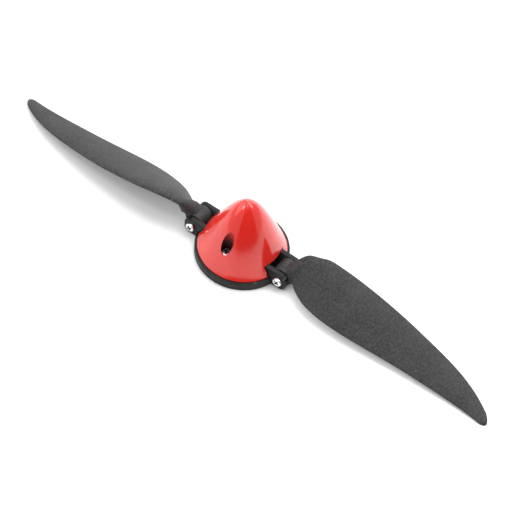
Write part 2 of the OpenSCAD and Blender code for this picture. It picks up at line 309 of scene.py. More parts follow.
redLook = {
    "base": (0.66, 0.021, 0.013),
    "deep": (0.59, 0.016, 0.010),
    "rough": (0.10, 0.17),
    "peelSize": 1.3 * mm,
    "peelDepth": 0.010 * mm,
    "ringsPerMetre": 160,
    "ringDepth": 0.004 * mm,
    "coat": 0.45,
    "coatRough": 0.04,
}


def redGloss(look):
    paint, tree, shader, spots = newPaint("redGloss")
    cloud = mottle(tree, spots, 14 * mm, 3)
    fleck = mottle(tree, spots, 0.5 * mm, 2)
    feed(tree, twoTone(tree, cloud, look["deep"], look["base"], 0.35), shader, "Base Color")
    feed(tree, twoTone(tree, fleck, *look["rough"], 0.3, 0.75), shader, "Roughness")
    peel = mottle(tree, spots, look["peelSize"], 1.5, 0.4)
    rings = tree.nodes.new("ShaderNodeTexWave")          # faint moulding rings round the cone
    rings.wave_type = "BANDS"
    rings.bands_direction = "Z"
    rings.inputs["Scale"].default_value = look["ringsPerMetre"]
    rings.inputs["Distortion"].default_value = 0.6
    tree.links.new(spots, rings.inputs["Vector"])
    low = relief(tree, rings.outputs["Fac"], 0.12, look["ringDepth"])
    feed(tree, relief(tree, peel, 0.5, look["peelDepth"], low), shader, "Normal")
    shader.inputs["IOR"].default_value = 1.52
    shader.inputs["Coat Weight"].default_value = look["coat"]
    shader.inputs["Coat Roughness"].default_value = look["coatRough"]
    return paint


bladeLook = {
    "dark": (0.014, 0.014, 0.0142),
    "light": (0.028, 0.028, 0.0282),
    "edge": (0.095, 0.095, 0.094),
    "rough": (0.50, 0.68),
    "gloss": 0.28,
    "cloudSize": 9 * mm,
    "streakSize": 1.6 * mm,     # across the blade; a streak is eight times as long
    "waveDepth": 0.05 * mm,
    "grainSize": 0.85 * mm,
    "grainDepth": 0.06 * mm,
}


def bladeComposite(look):
    paint, tree, shader, spots = newPaint("bladeComposite")
    cloud = mottle(tree, spots, look["cloudSize"], 4, 0.6, 0.4)
    streak = mottle(tree, stretch(tree, spots, (0.12, 1, 1)), look["streakSize"], 3, 0.6)
    grain = mottle(tree, spots, look["grainSize"], 4, 0.75)
    both = blendOf(tree, spanOf(tree, streak, 0.3, 0.7), spanOf(tree, cloud, 0.3, 0.7, 0.0, 0.7),
                   spanOf(tree, cloud, 0.3, 0.7, 0.3, 1.0))
    ground = blendOf(tree, both, look["dark"], look["light"])
    speckled = blendOf(tree, spanOf(tree, grain, 0.40, 0.66, 0.0, 0.42), ground, look["edge"])
    worn = blendOf(tree, edgeWear(tree), speckled, look["edge"])
    feed(tree, worn, shader, "Base Color")
    feed(tree, twoTone(tree, grain, *look["rough"], 0.25, 0.75), shader, "Roughness")
    low = relief(tree, cloud, 0.25, look["waveDepth"])
    feed(tree, relief(tree, grain, 0.55, look["grainDepth"], low), shader, "Normal")
    shader.inputs["Specular IOR Level"].default_value = look["gloss"]
    return paint


yokeLook = {
    "dark": (0.009, 0.009, 0.0093),
    "light": (0.018, 0.018, 0.0184),
    "edge": (0.060, 0.060, 0.060),
    "gloss": 0.15,
    "rough": (0.34, 0.48),
    "cloudSize": 6 * mm,
    "waveDepth": 0.04 * mm,
    "grainSize": 0.30 * mm,
    "grainDepth": 0.018 * mm,
}


def blackMoulded(look):
    paint, tree, shader, spots = newPaint("blackMoulded")
    cloud = mottle(tree, spots, look["cloudSize"], 4)
    grain = mottle(tree, spots, look["grainSize"], 3, 0.6)
    ground = twoTone(tree, cloud, look["dark"], look["light"])
    worn = blendOf(tree, edgeWear(tree, 0.53, 0.64), ground, look["edge"])
    feed(tree, worn, shader, "Base Color")
    feed(tree, twoTone(tree, grain, *look["rough"], 0.3, 0.75), shader, "Roughness")
    low = relief(tree, cloud, 0.2, look["waveDepth"])
    feed(tree, relief(tree, grain, 0.45, look["grainDepth"], low), shader, "Normal")
    shader.inputs["Specular IOR Level"].default_value = look["gloss"]
    return paint


nickelLook = {
    "bright": (0.95, 0.94, 0.92),
    "dull": (0.80, 0.79, 0.77),
    "rough": (0.20, 0.36),
    "cloudSize": 1.8 * mm,
    "fineSize": 0.35 * mm,
    "fineDepth": 0.008 * mm,
    "ringsPerMetre": 900,
    "ringDepth": 0.006 * mm,
}


def brightNickel(look):
    # pieces in this finish are turned about their own Z axis
    paint, tree, shader, spots = newPaint("brightNickel")
    cloud = mottle(tree, spots, look["cloudSize"], 4, 0.6)
    fine = mottle(tree, stretch(tree, spots, (1, 1, 6)), look["fineSize"], 3)
    feed(tree, twoTone(tree, cloud, look["dull"], look["bright"], 0.3, 0.62), shader, "Base Color")
    feed(tree, twoTone(tree, fine, *look["rough"], 0.35, 0.75), shader, "Roughness")
    rings = tree.nodes.new("ShaderNodeTexWave")
    rings.wave_type = "RINGS"
    rings.rings_direction = "Z"
    rings.inputs["Scale"].default_value = look["ringsPerMetre"]
    rings.inputs["Distortion"].default_value = 0.4
    tree.links.new(spots, rings.inputs["Vector"])
    low = relief(tree, rings.outputs["Fac"], 0.15, look["ringDepth"])
    feed(tree, relief(tree, fine, 0.3, look["fineDepth"], low), shader, "Normal")
    shader.inputs["Metallic"].default_value = 1.0
    return paint


# painted shade for the wells and the shell's inside: dark red-brown, darker towards the bottom
wellShadeLook = {
    "upper": ((0.22, 0.012, 0.010), (0.36, 0.020, 0.016)),
    "lower": ((0.020, 0.004, 0.004), (0.045, 0.010, 0.010)),
    "fromTo": (15.5 * mm, 20.5 * mm),       # heights between which one runs into the other
    "rough": (0.5, 0.7),
    "gloss": 0.2,
    "cloudSize": 2.5 * mm,
    "fineSize": 0.4 * mm,
    "fineDepth": 0.02 * mm,
}


def paintedWellShade(look):
    # painted shade for the inside of the spinner and of its screw wells, darker towards the bottom
    paint, tree, shader, spots = newPaint("paintedWellShade")
    cloud = mottle(tree, spots, look["cloudSize"], 4)
    fine = mottle(tree, spots, look["fineSize"], 3)
    height = tree.nodes.new("ShaderNodeSeparateXYZ")
    tree.links.new(spots, height.inputs[0])
    upper = twoTone(tree, cloud, *look["upper"])
    lower = twoTone(tree, cloud, *look["lower"])
    feed(tree, twoTone(tree, height.outputs["Z"], lower, upper, *look["fromTo"]), shader, "Base Color")
    feed(tree, spanOf(tree, fine, 0.3, 0.7, *look["rough"]), shader, "Roughness")
    feed(tree, relief(tree, fine, 0.4, look["fineDepth"]), shader, "Normal")
    shader.inputs["Specular IOR Level"].default_value = look["gloss"]
    return paint


# painted shade for the screws' cross recesses
recessShadeLook = {
    "tones": ((0.020, 0.019, 0.019), (0.075, 0.070, 0.068)),
    "rough": (0.35, 0.6),
    "metal": 0.6,
    "cloudSize": 0.5 * mm,
    "cloudDepth": 0.03 * mm,
}

nylonLook = {
    "tones": ((0.62, 0.63, 0.58), (0.78, 0.79, 0.75)),
    "rough": (0.3, 0.45),
    "glow": 0.2,                # light that passes under the surface
    "glowDepth": 1 * mm,
    "cloudSize": 0.7 * mm,
    "cloudDepth": 0.02 * mm,
}


def paintedRecessShade(look):
    # painted shade for the inside of a cross recess
    paint, tree, shader, spots = newPaint("paintedRecessShade")
    cloud = mottle(tree, spots, look["cloudSize"], 4)
    feed(tree, twoTone(tree, cloud, *look["tones"]), shader, "Base Color")
    feed(tree, spanOf(tree, cloud, 0.3, 0.7, *look["rough"]), shader, "Roughness")
    feed(tree, relief(tree, cloud, 0.4, look["cloudDepth"]), shader, "Normal")
    shader.inputs["Metallic"].default_value = look["metal"]
    return paint


def nylonRing(look):
    paint, tree, shader, spots = newPaint("nylonRing")
    cloud = mottle(tree, spots, look["cloudSize"], 3)
    feed(tree, twoTone(tree, cloud, *look["tones"]), shader, "Base Color")
    feed(tree, spanOf(tree, cloud, 0.3, 0.7, *look["rough"]), shader, "Roughness")
    feed(tree, relief(tree, cloud, 0.3, look["cloudDepth"]), shader, "Normal")
    shader.inputs["Subsurface Weight"].default_value = look["glow"]
    shader.inputs["Subsurface Scale"].default_value = look["glowDepth"]
    return paint


aluminiumLook = {
    "tones": ((0.58, 0.59, 0.61), (0.72, 0.73, 0.75)),
    "rough": (0.2, 0.42),
    "cloudSize": 4 * mm,
    "lineSize": 0.9 * mm,
    "lineDepth": 0.015 * mm,
}


def turnedAluminium(look):
    paint, tree, shader, spots = newPaint("turnedAluminium")
    cloud = mottle(tree, spots, look["cloudSize"], 4)
    lines = mottle(tree, stretch(tree, spots, (0.2, 0.2, 4)), look["lineSize"], 4)
    feed(tree, twoTone(tree, cloud, *look["tones"]), shader, "Base Color")
    feed(tree, spanOf(tree, lines, 0.3, 0.7, *look["rough"]), shader, "Roughness")
    feed(tree, relief(tree, lines, 0.35, look["lineDepth"]), shader, "Normal")
    shader.inputs["Metallic"].default_value = 1.0
    return paint


redPaint = redGloss(redLook)
bladePaint = bladeComposite(bladeLook)
yokePaint = blackMoulded(yokeLook)
nickelPaint = brightNickel(nickelLook)
wellShadePaint = paintedWellShade(wellShadeLook)
recessShadePaint = paintedRecessShade(recessShadeLook)
nylonPaint = nylonRing(nylonLook)
aluminiumPaint = turnedAluminium(aluminiumLook)
print("finishes made:", len(bpy.data.materials))


# blades, one skin formula for both; a blade is made straight out along X from its hinge
# all sizes in the dictionaries are millimetres, unless a note says otherwise

blade = {
    "span": 101.35,             # hinge to tip
    "width": 20.4,
    "pitch": 165.0,
    "rootThick": 3.3,           # of the section alone, over the edges' own thickness
    "tipThick": 0.6,
    "edgeThick": 0.4,
    "edgeSquare": 12,
    "camber": 0.035,
    "lift": 0.75,               # how far the trailing edge bows up at mid span
    "capStart": 0.972,          # share of the span where the rounded tip starts
    "knuckle": 9.0,
    "slotHalf": 3.85,
    "sideGap": 0.25,
    "rootGap": 0.1,
    "knuckleSkin": 0.2,
    "neckStart": -0.5,
    "neckLow": 3.4,
    "neckEnd": 7.0,
    "neckClimb": 1.2,
    "neckLevel": 0.12,
    "neckLift": 0.4,
    "neckSpread": 3.8,
    "neckCorner": 0.45,
    "neckRidge": 135.0,
    "shoulder": 1.6,
    "sweepClear": 1.0,
    "lugReach": 3.5,
    "lugFoot": 0.5,
    "lugRound": 2.8,
    "boreRadius": 1.05,
    "boreFlare": 0.25,
    "knuckleEdge": 0.3,
    "tipGap": 0.3,              # tip above the table
    "stations": 230,
    "rootStations": 70,
    "tipStations": 36,
    "rootEnd": 14.0,            # the root's closer stations end here
    "around": 112,
    "meltRings": 5,             # how far the softening of the root's crease spreads
    "meltRounds": 16,
}

# share of the span, leading edge, trailing edge (shares of the width), share of the pitch
bladePlan = [
    (0.00, 0.200, -0.150, 1.10),
    (0.06, 0.305, -0.235, 1.05),
    (0.10, 0.355, -0.345, 0.99),
    (0.14, 0.410, -0.440, 0.96),
    (0.20, 0.435, -0.510, 0.95),
    (0.28, 0.452, -0.545, 0.95),
    (0.38, 0.445, -0.535, 0.98),
    (0.50, 0.410, -0.492, 1.00),
    (0.62, 0.335, -0.455, 1.03),
    (0.74, 0.240, -0.435, 1.03),
    (0.83, 0.130, -0.427, 1.04),
    (0.91, -0.025, -0.433, 1.05),
    (0.97, -0.190, -0.455, 1.06),
    (1.00, -0.290, -0.470, 1.06),
]


def planEdge(share, column):
    # smooth curve through one column of the plan
    last = len(bladePlan) - 1
    i = 0
    while i < last - 1 and share > bladePlan[i + 1][0]:
        i += 1

    def slope(k):
        a, b = max(0, k - 1), min(last, k + 1)
        return (bladePlan[b][column] - bladePlan[a][column]) / (bladePlan[b][0] - bladePlan[a][0])

    width = bladePlan[i + 1][0] - bladePlan[i][0]
    t = (share - bladePlan[i][0]) / width
    return (bladePlan[i][column] * (1 + 2 * t) * (1 - t) ** 2
            + bladePlan[i + 1][column] * t * t * (3 - 2 * t)
            + width * (slope(i) * t * (1 - t) ** 2 - slope(i + 1) * t * t * (1 - t)))


def eased(t):
    s = min(1.0, max(0.0, t))
    return s * s * (3 - 2 * s)


def powered(values, p):
    return np.sign(values) * np.abs(values) ** p


def bladeRing(past, angles, b):
    # one section of the skin, past the hinge by that many millimetres
    share = past / b["span"]
    capShare = (share - b["capStart"]) / (1 - b["capStart"])
    cap = 1.0 if capShare <= 0 else math.sqrt(max(0.0, 1 - capShare ** 2))
    front, back = planEdge(share, 1), planEdge(share, 2)
    middle = b["width"] * (front + back) / 2
    half = b["width"] * (front - back) / 2 * cap
    lead, trail = middle + half, middle - half
    turn = math.atan(b["pitch"] * planEdge(share, 3) / (2 * math.pi * (hingeX / mm + past)))
    c = (1 + np.cos(angles)) / 2
    thick = (b["tipThick"] + (b["rootThick"] - b["tipThick"]) * (1 - share) ** 1.4) * math.sqrt(cap)
    section = 5 * (0.2969 * np.sqrt(c) - 0.126 * c - 0.3516 * c ** 2 + 0.2843 * c ** 3 - 0.1015 * c ** 4)
    off = 4 * b["camber"] * c * (1 - c) * (lead - trail) / math.cos(turn)
    square = np.sqrt(np.maximum(0, 1 - np.cos(angles) ** b["edgeSquare"]))
    edgeHalf = b["edgeThick"] / 2 * square * math.sqrt(cap)
    off = off + np.where(np.sin(angles) >= 0, 1, -1) * (section * thick + edgeHalf)
    foilY = lead - (lead - trail) * c - off * math.sin(turn)
    rise = (lead - trail) * (1 - c) * math.tan(turn)
    foilZ = b["lift"] * math.sin(math.pi * share) + rise + off * math.cos(turn)

    low = (1 - np.sin(angles)) / 2
    begin = b["neckStart"] + (b["neckLow"] - b["neckStart"]) * low
    k = np.array([eased((past - s) / (b["neckEnd"] - s)) for s in begin])
    run = past - b["neckStart"]
    degrees = np.degrees(angles)
    neckAngle = np.radians(np.where(degrees <= 180, degrees * b["neckRidge"] / 180,
                                    b["neckRidge"] + (degrees - 180) * (2 - b["neckRidge"] / 180)))
    across = -powered(np.cos(neckAngle), b["neckCorner"])
    up = powered(np.sin(neckAngle), b["neckCorner"])
    core = b["knuckle"] / 2 - b["knuckleSkin"]
    rootHalf = b["slotHalf"] - b["sideGap"] - b["rootGap"]
    climb = b["neckClimb"] * run * (b["neckLevel"] + (1 - b["neckLevel"]) * (1 + across) / 2)
    neckY = across * (rootHalf + b["neckSpread"] * eased(past / b["neckEnd"]))
    neckZ = up * np.where(up > 0, core + climb, core - b["neckLift"] * run)
    y = neckY + (foilY - neckY) * k
    z = neckZ + (foilZ - neckZ) * k

    # the skin keeps clear of the lugs' sweep as the blade folds
    lugCorner = math.hypot(b["lugReach"] - b["lugRound"], hingeHeight / mm - b["lugFoot"] - b["lugRound"])
    rimEdge = math.sqrt((rimRadius / mm) ** 2 - b["slotHalf"] ** 2)
    rimCorner = math.hypot(hingeX / mm - rimEdge, hingeHeight / mm)
    below = np.array([eased(-v / 1.5) for v in z]) * max(0, rimCorner - lugCorner - b["lugRound"])
    sweep = np.hypot(past, z) - lugCorner - b["lugRound"] - below - b["sweepClear"]
    limit = rootHalf + np.maximum(0, sweep) * b["shoulder"]
    y = y / (1 + np.abs(y / limit) ** 8) ** 0.125
    return np.stack([np.full_like(y, past), y, z], 1) * mm


def bladeStations(b):
    # closer together at the root and round the tip
    rootEnd, capStart = b["rootEnd"], b["capStart"] * b["span"]
    rootCount, tipCount = b["rootStations"], b["tipStations"]
    middleCount = b["stations"] - rootCount - tipCount
    root = [b["neckStart"] + (rootEnd - b["neckStart"]) * (i / rootCount) ** 1.15 for i in range(rootCount)]
    middle = [rootEnd + (capStart - rootEnd) * i / middleCount for i in range(middleCount)]
    tip = [capStart + (b["span"] - capStart) * math.sin(math.pi / 2 * i / tipCount)
           for i in range(tipCount)]
    return root + middle + tip


def makeBlade(name, b):
    angles = np.linspace(0, 2 * math.pi, b["around"], endpoint=False)
    stations = bladeStations(b)
    rings = np.concatenate([bladeRing(s, angles, b) for s in stations])
    tipPoint = bladeRing(b["span"], angles, b).mean(0)
    n, count = b["around"], len(stations)
    faces = [(i * n + j, i * n + (j + 1) % n, (i + 1) * n + (j + 1) % n, (i + 1) * n + j)
             for i in range(count - 1) for j in range(n)]
    tipIndex = count * n
    faces += [((count - 1) * n + j, (count - 1) * n + (j + 1) % n, tipIndex) for j in range(n)]
    faces.append(tuple(range(n - 1, -1, -1)))
    piece = pieceFrom(name, np.vstack([rings, tipPoint]), faces)

    halfWide = (b["slotHalf"] - b["sideGap"]) * mm
    radius = b["knuckle"] / 2 * mm
    edge = b["knuckleEdge"] * mm
    knuckleOutline = [(0, -halfWide), (radius - edge, -halfWide)]
    knuckleOutline += [(radius - edge + edge * math.sin(t), -halfWide + edge - edge * math.cos(t))
                       for t in np.linspace(0.2, math.pi / 2, 4)]
    knuckleOutline += [(r, -h) for r, h in reversed(knuckleOutline)]
    knuckle = shifted(turned("knuckle", knuckleOutline, 144), alongY)
    joined(piece, knuckle)
    melt(piece, b)
    bore = b["boreRadius"] * mm
    flare = b["boreFlare"] * mm
    pin = [(0, -2 * halfWide), (bore + flare, -2 * halfWide), (bore + flare, -halfWide),
           (bore, -halfWide + flare), (bore, halfWide - flare), (bore + flare, halfWide),
           (bore + flare, 2 * halfWide), (0, 2 * halfWide)]
    carved(piece, shifted(turned("bore", pin, 64), alongY))
    softShading(piece, 34)
    return piece


def melt(piece, b):
    # softens the crease where the root grows out of the knuckle
    bm = bmesh.new()
    bm.from_mesh(piece.data)
    bmesh.ops.remove_doubles(bm, verts=bm.verts, dist=0.004 * mm)
    radius = b["knuckle"] / 2 * mm
    creases = {v for e in bm.edges if e.calc_face_angle(0) > math.radians(14)
               for v in e.verts
               if abs(math.hypot(v.co.x, v.co.z) - radius) < 0.12 * mm and v.co.x > 0}
    near = set(creases)
    for _ in range(b["meltRings"]):
        near |= {e.other_vert(v) for v in near for e in v.link_edges}
    near = [v for v in near if abs(v.co.y) < (b["slotHalf"] + 0.6) * mm and v.co.x > 0.5 * mm]
    for _ in range(b["meltRounds"]):
        bmesh.ops.smooth_vert(bm, verts=near, factor=0.5,
                              use_axis_x=True, use_axis_y=False, use_axis_z=True)
    bm.to_mesh(piece.data)
    bm.free()


droop = math.asin((hingeHeight / mm - blade["tipGap"]) / blade["span"])
bladeRight = makeBlade("bladeRight", blade)
bladeLeft = newPiece("bladeLeft", bladeRight.data.copy())
atRight = Matrix.Translation(rightHinge) @ Matrix.Rotation(droop, 4, "Y")
# the mesh keeps its own frame at the hinge, so the grain runs along each blade
bladeRight.matrix_world = atRight
bladeLeft.matrix_world = halfTurn @ atRight
for piece, body, node in (
        (bladeRight, "right_blade", "blade_right"),
        (bladeLeft, "left_blade", "blade_left")):
    dress(piece, bladePaint)
    mount(piece, body, "blade_composite", node)
print("blades made: %d faces each" % len(bladeRight.data.polygons))


# spinner, a thin turned shell with two screw wells and cut-outs for the lugs

spinner = {
    "wall": 1.3,
    "bow": 0.86,
    "nose": 0.6,
    "noseWalls": 1.6,
    "cutHeight": 9.35,          # top of the cut-outs above the rear face
    "cutHalf": 6.6,
    "cutFrom": 9.0,
    "cutCorner": 0.35,
    "wellAt": 12.21,
    "wellRadius": 2.45,
    "wellLip": 0.9,             # the gloss paint runs this far into a well
    "columnWall": 1.2,
    "wellBottom": 11.5,
    "postTop": 9.0,
    "screwRadius": 1.12,
    "baseEdge": 0.25,
    "turns": 224,
    "steps": 96,
}
spinnerRadius = spinnerHigh.y
spinnerHeight = spinnerHigh.z - spinnerLow.z


def shellRadius(share, radius, s):
    return radius * max(0.0, 1 - share ** s["bow"]) ** s["nose"]


def shellOutline(radius, height, s, first):
    # from the base to the nose, bunched where the outline turns fastest
    shares = [1 - (1 - i / s["steps"]) ** 2 for i in range(s["steps"] + 1)]
    return [(shellRadius(v, radius, s), rimTop + height * v) for v in shares if v >= first]


def trueNormals(piece, radius, height, s):
    # the cone's own normals on its outside, so its gloss stays clean right up to the cut edges
    mesh = piece.data
    mesh.shade_smooth()
    mesh.set_sharp_from_angle(angle=math.radians(25))
    mesh.update()
    normals = [Vector(corner.vector) for corner in mesh.corner_normals]

    def outside(spot):
        share = (spot.z - rimTop) / height
        reach = shellRadius(min(share, 1), radius, s)
        return 0.004 < share and abs(math.hypot(spot.x, spot.y) - reach) < 0.03 * mm

    for face in mesh.polygons:
        if not all(outside(mesh.vertices[v].co) for v in face.vertices):
            continue
        for loop in face.loop_indices:
            spot = mesh.vertices[mesh.loops[loop].vertex_index].co
            share = min(0.9995, (spot.z - rimTop) / height)
            step = 1e-4
            wider, narrower = (shellRadius(share + k * step, radius, s) for k in (-1, 1))
            slope = (narrower - wider) / (2 * step * height)
            away = Vector((spot.x, spot.y, 0))
            if away.length < 1e-6:
                normals[loop] = Vector((0, 0, 1))
            else:
                away.normalize()
                normals[loop] = Vector((away.x, away.y, -slope)).normalized()
    mesh.normals_split_custom_set([tuple(n) for n in normals])


def makeSpinner(s):
    edge = s["baseEdge"] * mm
    outer = shellOutline(spinnerRadius, spinnerHeight, s, 0.01)
    innerHeight = spinnerHeight - s["noseWalls"] * s["wall"] * mm
    innerRadius = spinnerRadius - s["wall"] * mm
    inner = shellOutline(innerRadius, innerHeight, s, 0.01)
    foot = outer[0][0]
    base = [(innerRadius, rimTop), (foot - edge, rimTop), (foot - edge * 0.3, rimTop + edge * 0.25)]
    shell = turned("spinner", base + outer + list(reversed(inner)), s["turns"])
    tools = []
    for side in (-1, 1):
        place = Matrix.Translation((0, side * s["wellAt"] * mm, 0))
        wellRadius, wellBottom = s["wellRadius"] * mm, s["wellBottom"] * mm
        column = rod("column", wellRadius + s["columnWall"] * mm, s["postTop"] * mm, spinnerHigh.z, 96)
        shifted(column, place)
        # a column ends inside the shell, a little below its outer skin
        inside = shellOutline(spinnerRadius - 0.4 * mm, spinnerHeight - 0.6 * mm, s, 0.01)
        core = turned("core", [(0, rimTop - mm)] + inside, 128)
        solid(column, core, "INTERSECT")
        joined(shell, column)
        well = rod("well", wellRadius, wellBottom, spinnerHigh.z + mm, 96)
        hole = rod("hole", s["screwRadius"] * mm, s["postTop"] * mm - mm, wellBottom + mm, 48)
        tools += [shifted(well, place), shifted(hole, place)]
        # the cut-out's two upper corners are a little rounded, as a moulded edge is
        half, top = s["cutHalf"] * mm, s["cutHeight"] * mm
        corner = s["cutCorner"] * mm
        mouth = [(-half, rimTop - mm), (half, rimTop - mm)]
        mouth += [(half - corner + corner * math.cos(t), top - corner + corner * math.sin(t))
                  for t in np.linspace(0, math.pi / 2, 6)]
        mouth += [(-half + corner - corner * math.sin(t), top - corner + corner * math.cos(t))
                  for t in np.linspace(0, math.pi / 2, 6)]
        gate = slab("gate", mouth, 2 * rimRadius)
        # the outline stands in YZ and the depth runs along X
        stand = Matrix(((0, 0, 1, 0), (1, 0, 0, 0), (0, 1, 0, 0), (0, 0, 0, 1)))
        shifted(gate, Matrix.Translation((s["cutFrom"] * mm, 0, 0)) @ stand)
        if side < 0:
            shifted(gate, halfTurn)
        tools.append(gate)
    carved(shell, *tools)
    trueNormals(shell, spinnerRadius, spinnerHeight, s)
    return shell


spinnerPiece = makeSpinner(spinner)
# the second finish is the painted shade of the wells and the shell's inside
dress(spinnerPiece, redPaint, wellShadePaint)
for face in spinnerPiece.data.polygons:
    spot = face.center
    reach = math.hypot(spot.x, abs(spot.y) - spinner["wellAt"] * mm)
    share = max(0.0, (spot.z - rimTop) / spinnerHeight)
    depth = shellRadius(min(share, 1.0), spinnerRadius, spinner) - math.hypot(spot.x, spot.y)
    inWell = reach < (spinner["wellRadius"] + 0.02) * mm and depth > spinner["wellLip"] * mm
    behind = depth > 0.99 * spinner["wall"] * mm        # the shell's inside also takes the painted shade
    face.material_index = 1 if inWell or (behind and share > 0) else 0
mount(spinnerPiece, "hub", "red_gloss", "spinner_cone")
print("spinner made: %d faces" % len(spinnerPiece.data.polygons))


# yoke

yoke = {
    "rimWall": 2.4,
    "floor": 1.8,
    "ledge": 0.8,
    "spigotRadius": 17.10,
    "spigotWall": 1.2,
    "spigotHeight": 1.2,
    "rimEdge": 0.35,
    "slotHalf": 3.85,
    "slotFrom": 11.0,
    "slotOpenFrom": 16.75,
    "lug": 2.3,
    "lugTop": 9.1,
    "lugFoot": 0.5,
    "lugRoundTop": 3.4,
    "lugRoundLow": 2.8,
    "lugEdge": 0.42,
    "bossRadius": 7.5,
    "collarRecess": 6.6,
    "collarHeight": 5.0,
    "stemBore": 3.1,
    "postRadius": 3.0,
    "postTop": 9.0,
    "postAt": 12.21,
    "pinBore": 1.05,
    "pocketFlats": 4.1,
    "pilot": 1.12,
    "pilotFrom": 2.0,
}


def hexagonOf(flats):
    corner = flats / 2 / math.cos(math.pi / 6)
    return [(corner * math.cos(math.pi / 3 * i), corner * math.sin(math.pi / 3 * i)) for i in range(6)]


def lugOutline(y):
    # one plate carries the lug of each side; its ends are rounded more at the top
    end, top, foot = yokeHigh.x, y["lugTop"] * mm, y["lugFoot"] * mm
    above, below = y["lugRoundTop"] * mm, y["lugRoundLow"] * mm
    half = [(end - below + below * math.cos(t), foot + below + below * math.sin(t))
            for t in np.linspace(-math.pi / 2, 0, 22)]
    half += [(end - above + above * math.cos(t), top - above + above * math.sin(t))
             for t in np.linspace(0, math.pi / 2, 26)]
    return half + [(-x, z) for x, z in reversed(half)]


def makeYoke(y):
    wall = rimRadius - y["rimWall"] * mm
    spigotOut = y["spigotRadius"] * mm
    spigotIn = spigotOut - y["spigotWall"] * mm
    spigotTop = rimTop + y["spigotHeight"] * mm
    ledgeLow = rimTop - y["ledge"] * mm
    edge = y["rimEdge"] * mm

    def arc(radius, height, start):
        return [(radius - edge + edge * math.cos(t), height + edge * math.sin(t))
                for t in np.linspace(start, start + math.pi / 2, 6)]

    # two more rings on the rear face keep the edge wear close to the edges
    outline = [(0, 0), (y["collarRecess"] * mm + 0.6 * mm, 0), (rimRadius - edge - 0.6 * mm, 0)]
    outline += arc(rimRadius, edge, -math.pi / 2) + arc(rimRadius, rimTop - edge, 0)
    outline += [(spigotOut, rimTop), (spigotOut, spigotTop - 0.15 * mm), (spigotOut - 0.15 * mm, spigotTop),
                (spigotIn, spigotTop), (spigotIn, ledgeLow), (wall, ledgeLow), (wall, y["floor"] * mm),
                (0, y["floor"] * mm)]
    body = turned("yoke", outline, 224)

    # the outline stands in XZ and the depth runs towards -Y
    stand = Matrix(((1, 0, 0, 0), (0, 0, -1, 0), (0, 1, 0, 0), (0, 0, 0, 1)))
    for side in (-1, 1):
        plate = slab("plate", lugOutline(y), y["lug"] * mm, y["lugEdge"] * mm, 4)
        depth = y["slotHalf"] * mm if side < 0 else -(y["slotHalf"] + y["lug"]) * mm
        shifted(plate, stand @ Matrix.Translation((0, 0, depth)))
        joined(body, plate)
        joined(body, shifted(rod("post", y["postRadius"] * mm, 0.5 * mm, y["postTop"] * mm, 64),
                             Matrix.Translation((0, side * y["postAt"] * mm, 0))))
    chamfer = 0.4 * mm
    boss = y["bossRadius"] * mm
    joined(body, turned("boss", [(0, 0.5 * mm), (boss, 0.5 * mm), (boss, yokeHigh.z - chamfer),
                                 (boss - chamfer, yokeHigh.z), (0, yokeHigh.z)], 96))
    over = 1 * mm
    slotHalf = y["slotHalf"] * mm
    for side in (-1, 1):
        turnIt = Matrix.Identity(4) if side > 0 else halfTurn
        throat = block("throat", (y["slotOpenFrom"] * mm, -slotHalf, -over),
                       (2 * rimRadius, slotHalf, spigotTop + over))
        slot = block("slot", (y["slotFrom"] * mm, -slotHalf, y["floor"] * mm),
                     (2 * rimRadius, slotHalf, yokeHigh.z))
        carved(body, shifted(throat, turnIt), shifted(slot, turnIt),
               shifted(rod("pinBore", y["pinBore"] * mm, -10 * mm, 10 * mm, 48),
                       Matrix.Translation((side * hingeX, 0, hingeHeight)) @ alongY),
               shifted(slab("pocket", hexagonOf(y["pocketFlats"] * mm), 10 * mm),
                       Matrix.Translation((side * hingeX, nutLow.y, hingeHeight)) @ alongBackY),
               shifted(rod("pilot", y["pilot"] * mm, y["pilotFrom"] * mm, y["postTop"] * mm + over, 48),
                       Matrix.Translation((0, side * y["postAt"] * mm, 0))))
    carved(body, rod("stemBore", y["stemBore"] * mm, -over, yokeHigh.z + over, 64),
           rod("collarRecess", y["collarRecess"] * mm, -over, y["collarHeight"] * mm, 96))
    softShading(body, 28)
    body.modifiers.new("evenShading", "WEIGHTED_NORMAL").keep_sharp = True
    return body


yokePiece = makeYoke(yoke)
dress(yokePiece, yokePaint)
mount(yokePiece, "hub", "black_moulded", "yoke_backplate")
print("yoke made: %d faces" % len(yokePiece.data.polygons))


# screws, made head up at their own origin under the head

screw = {
    "head": 2.1,                # radius
    "headHeight": 1.3,
    "side": 0.45,               # straight side of the head before it domes over
    "flat": 0.80,               # share of the head's radius that is nearly flat
    "armWide": 0.88,
    "armLong": 3.05,
    "armDeep": 0.85,
    "armFoot": 1.1,
    "heart": (0.36, 0.62),      # radii of the recess's middle, at its bottom and its top
    "threadDepth": 0.10,
    "threadPitch": 0.4,
}


def crossTool(s):
    # a tapered four-armed bit, wide at the top
    top, low = (s["headHeight"] + 0.3) * mm, (s["headHeight"] - s["armDeep"]) * mm
    pieces = []
    for turnBy in (0, 90):
        wide, deep = s["armWide"] / 2 * mm, s["armWide"] / 3.2 * mm
        long, foot = s["armLong"] / 2 * mm, s["armFoot"] / 2 * mm
        points = [(-long, -wide, top), (long, -wide, top), (long, wide, top), (-long, wide, top),
                  (-foot, -deep, low), (foot, -deep, low), (foot, deep, low), (-foot, deep, low)]
        faces = [(0, 1, 2, 3), (7, 6, 5, 4), (0, 4, 5, 1), (1, 5, 6, 2), (2, 6, 7, 3), (3, 7, 4, 0)]
        arm = pieceFrom("arm", points, faces)
        pieces.append(shifted(arm, Matrix.Rotation(math.radians(turnBy), 4, "Z")))
    joined(pieces[0], pieces[1])
    heartLow, heartTop = (r * mm for r in s["heart"])
    heart = [(0, low - 0.1 * mm), (heartLow, low), (heartTop, top), (0, top)]
    joined(pieces[0], turned("heart", heart, 32))
    return pieces[0]


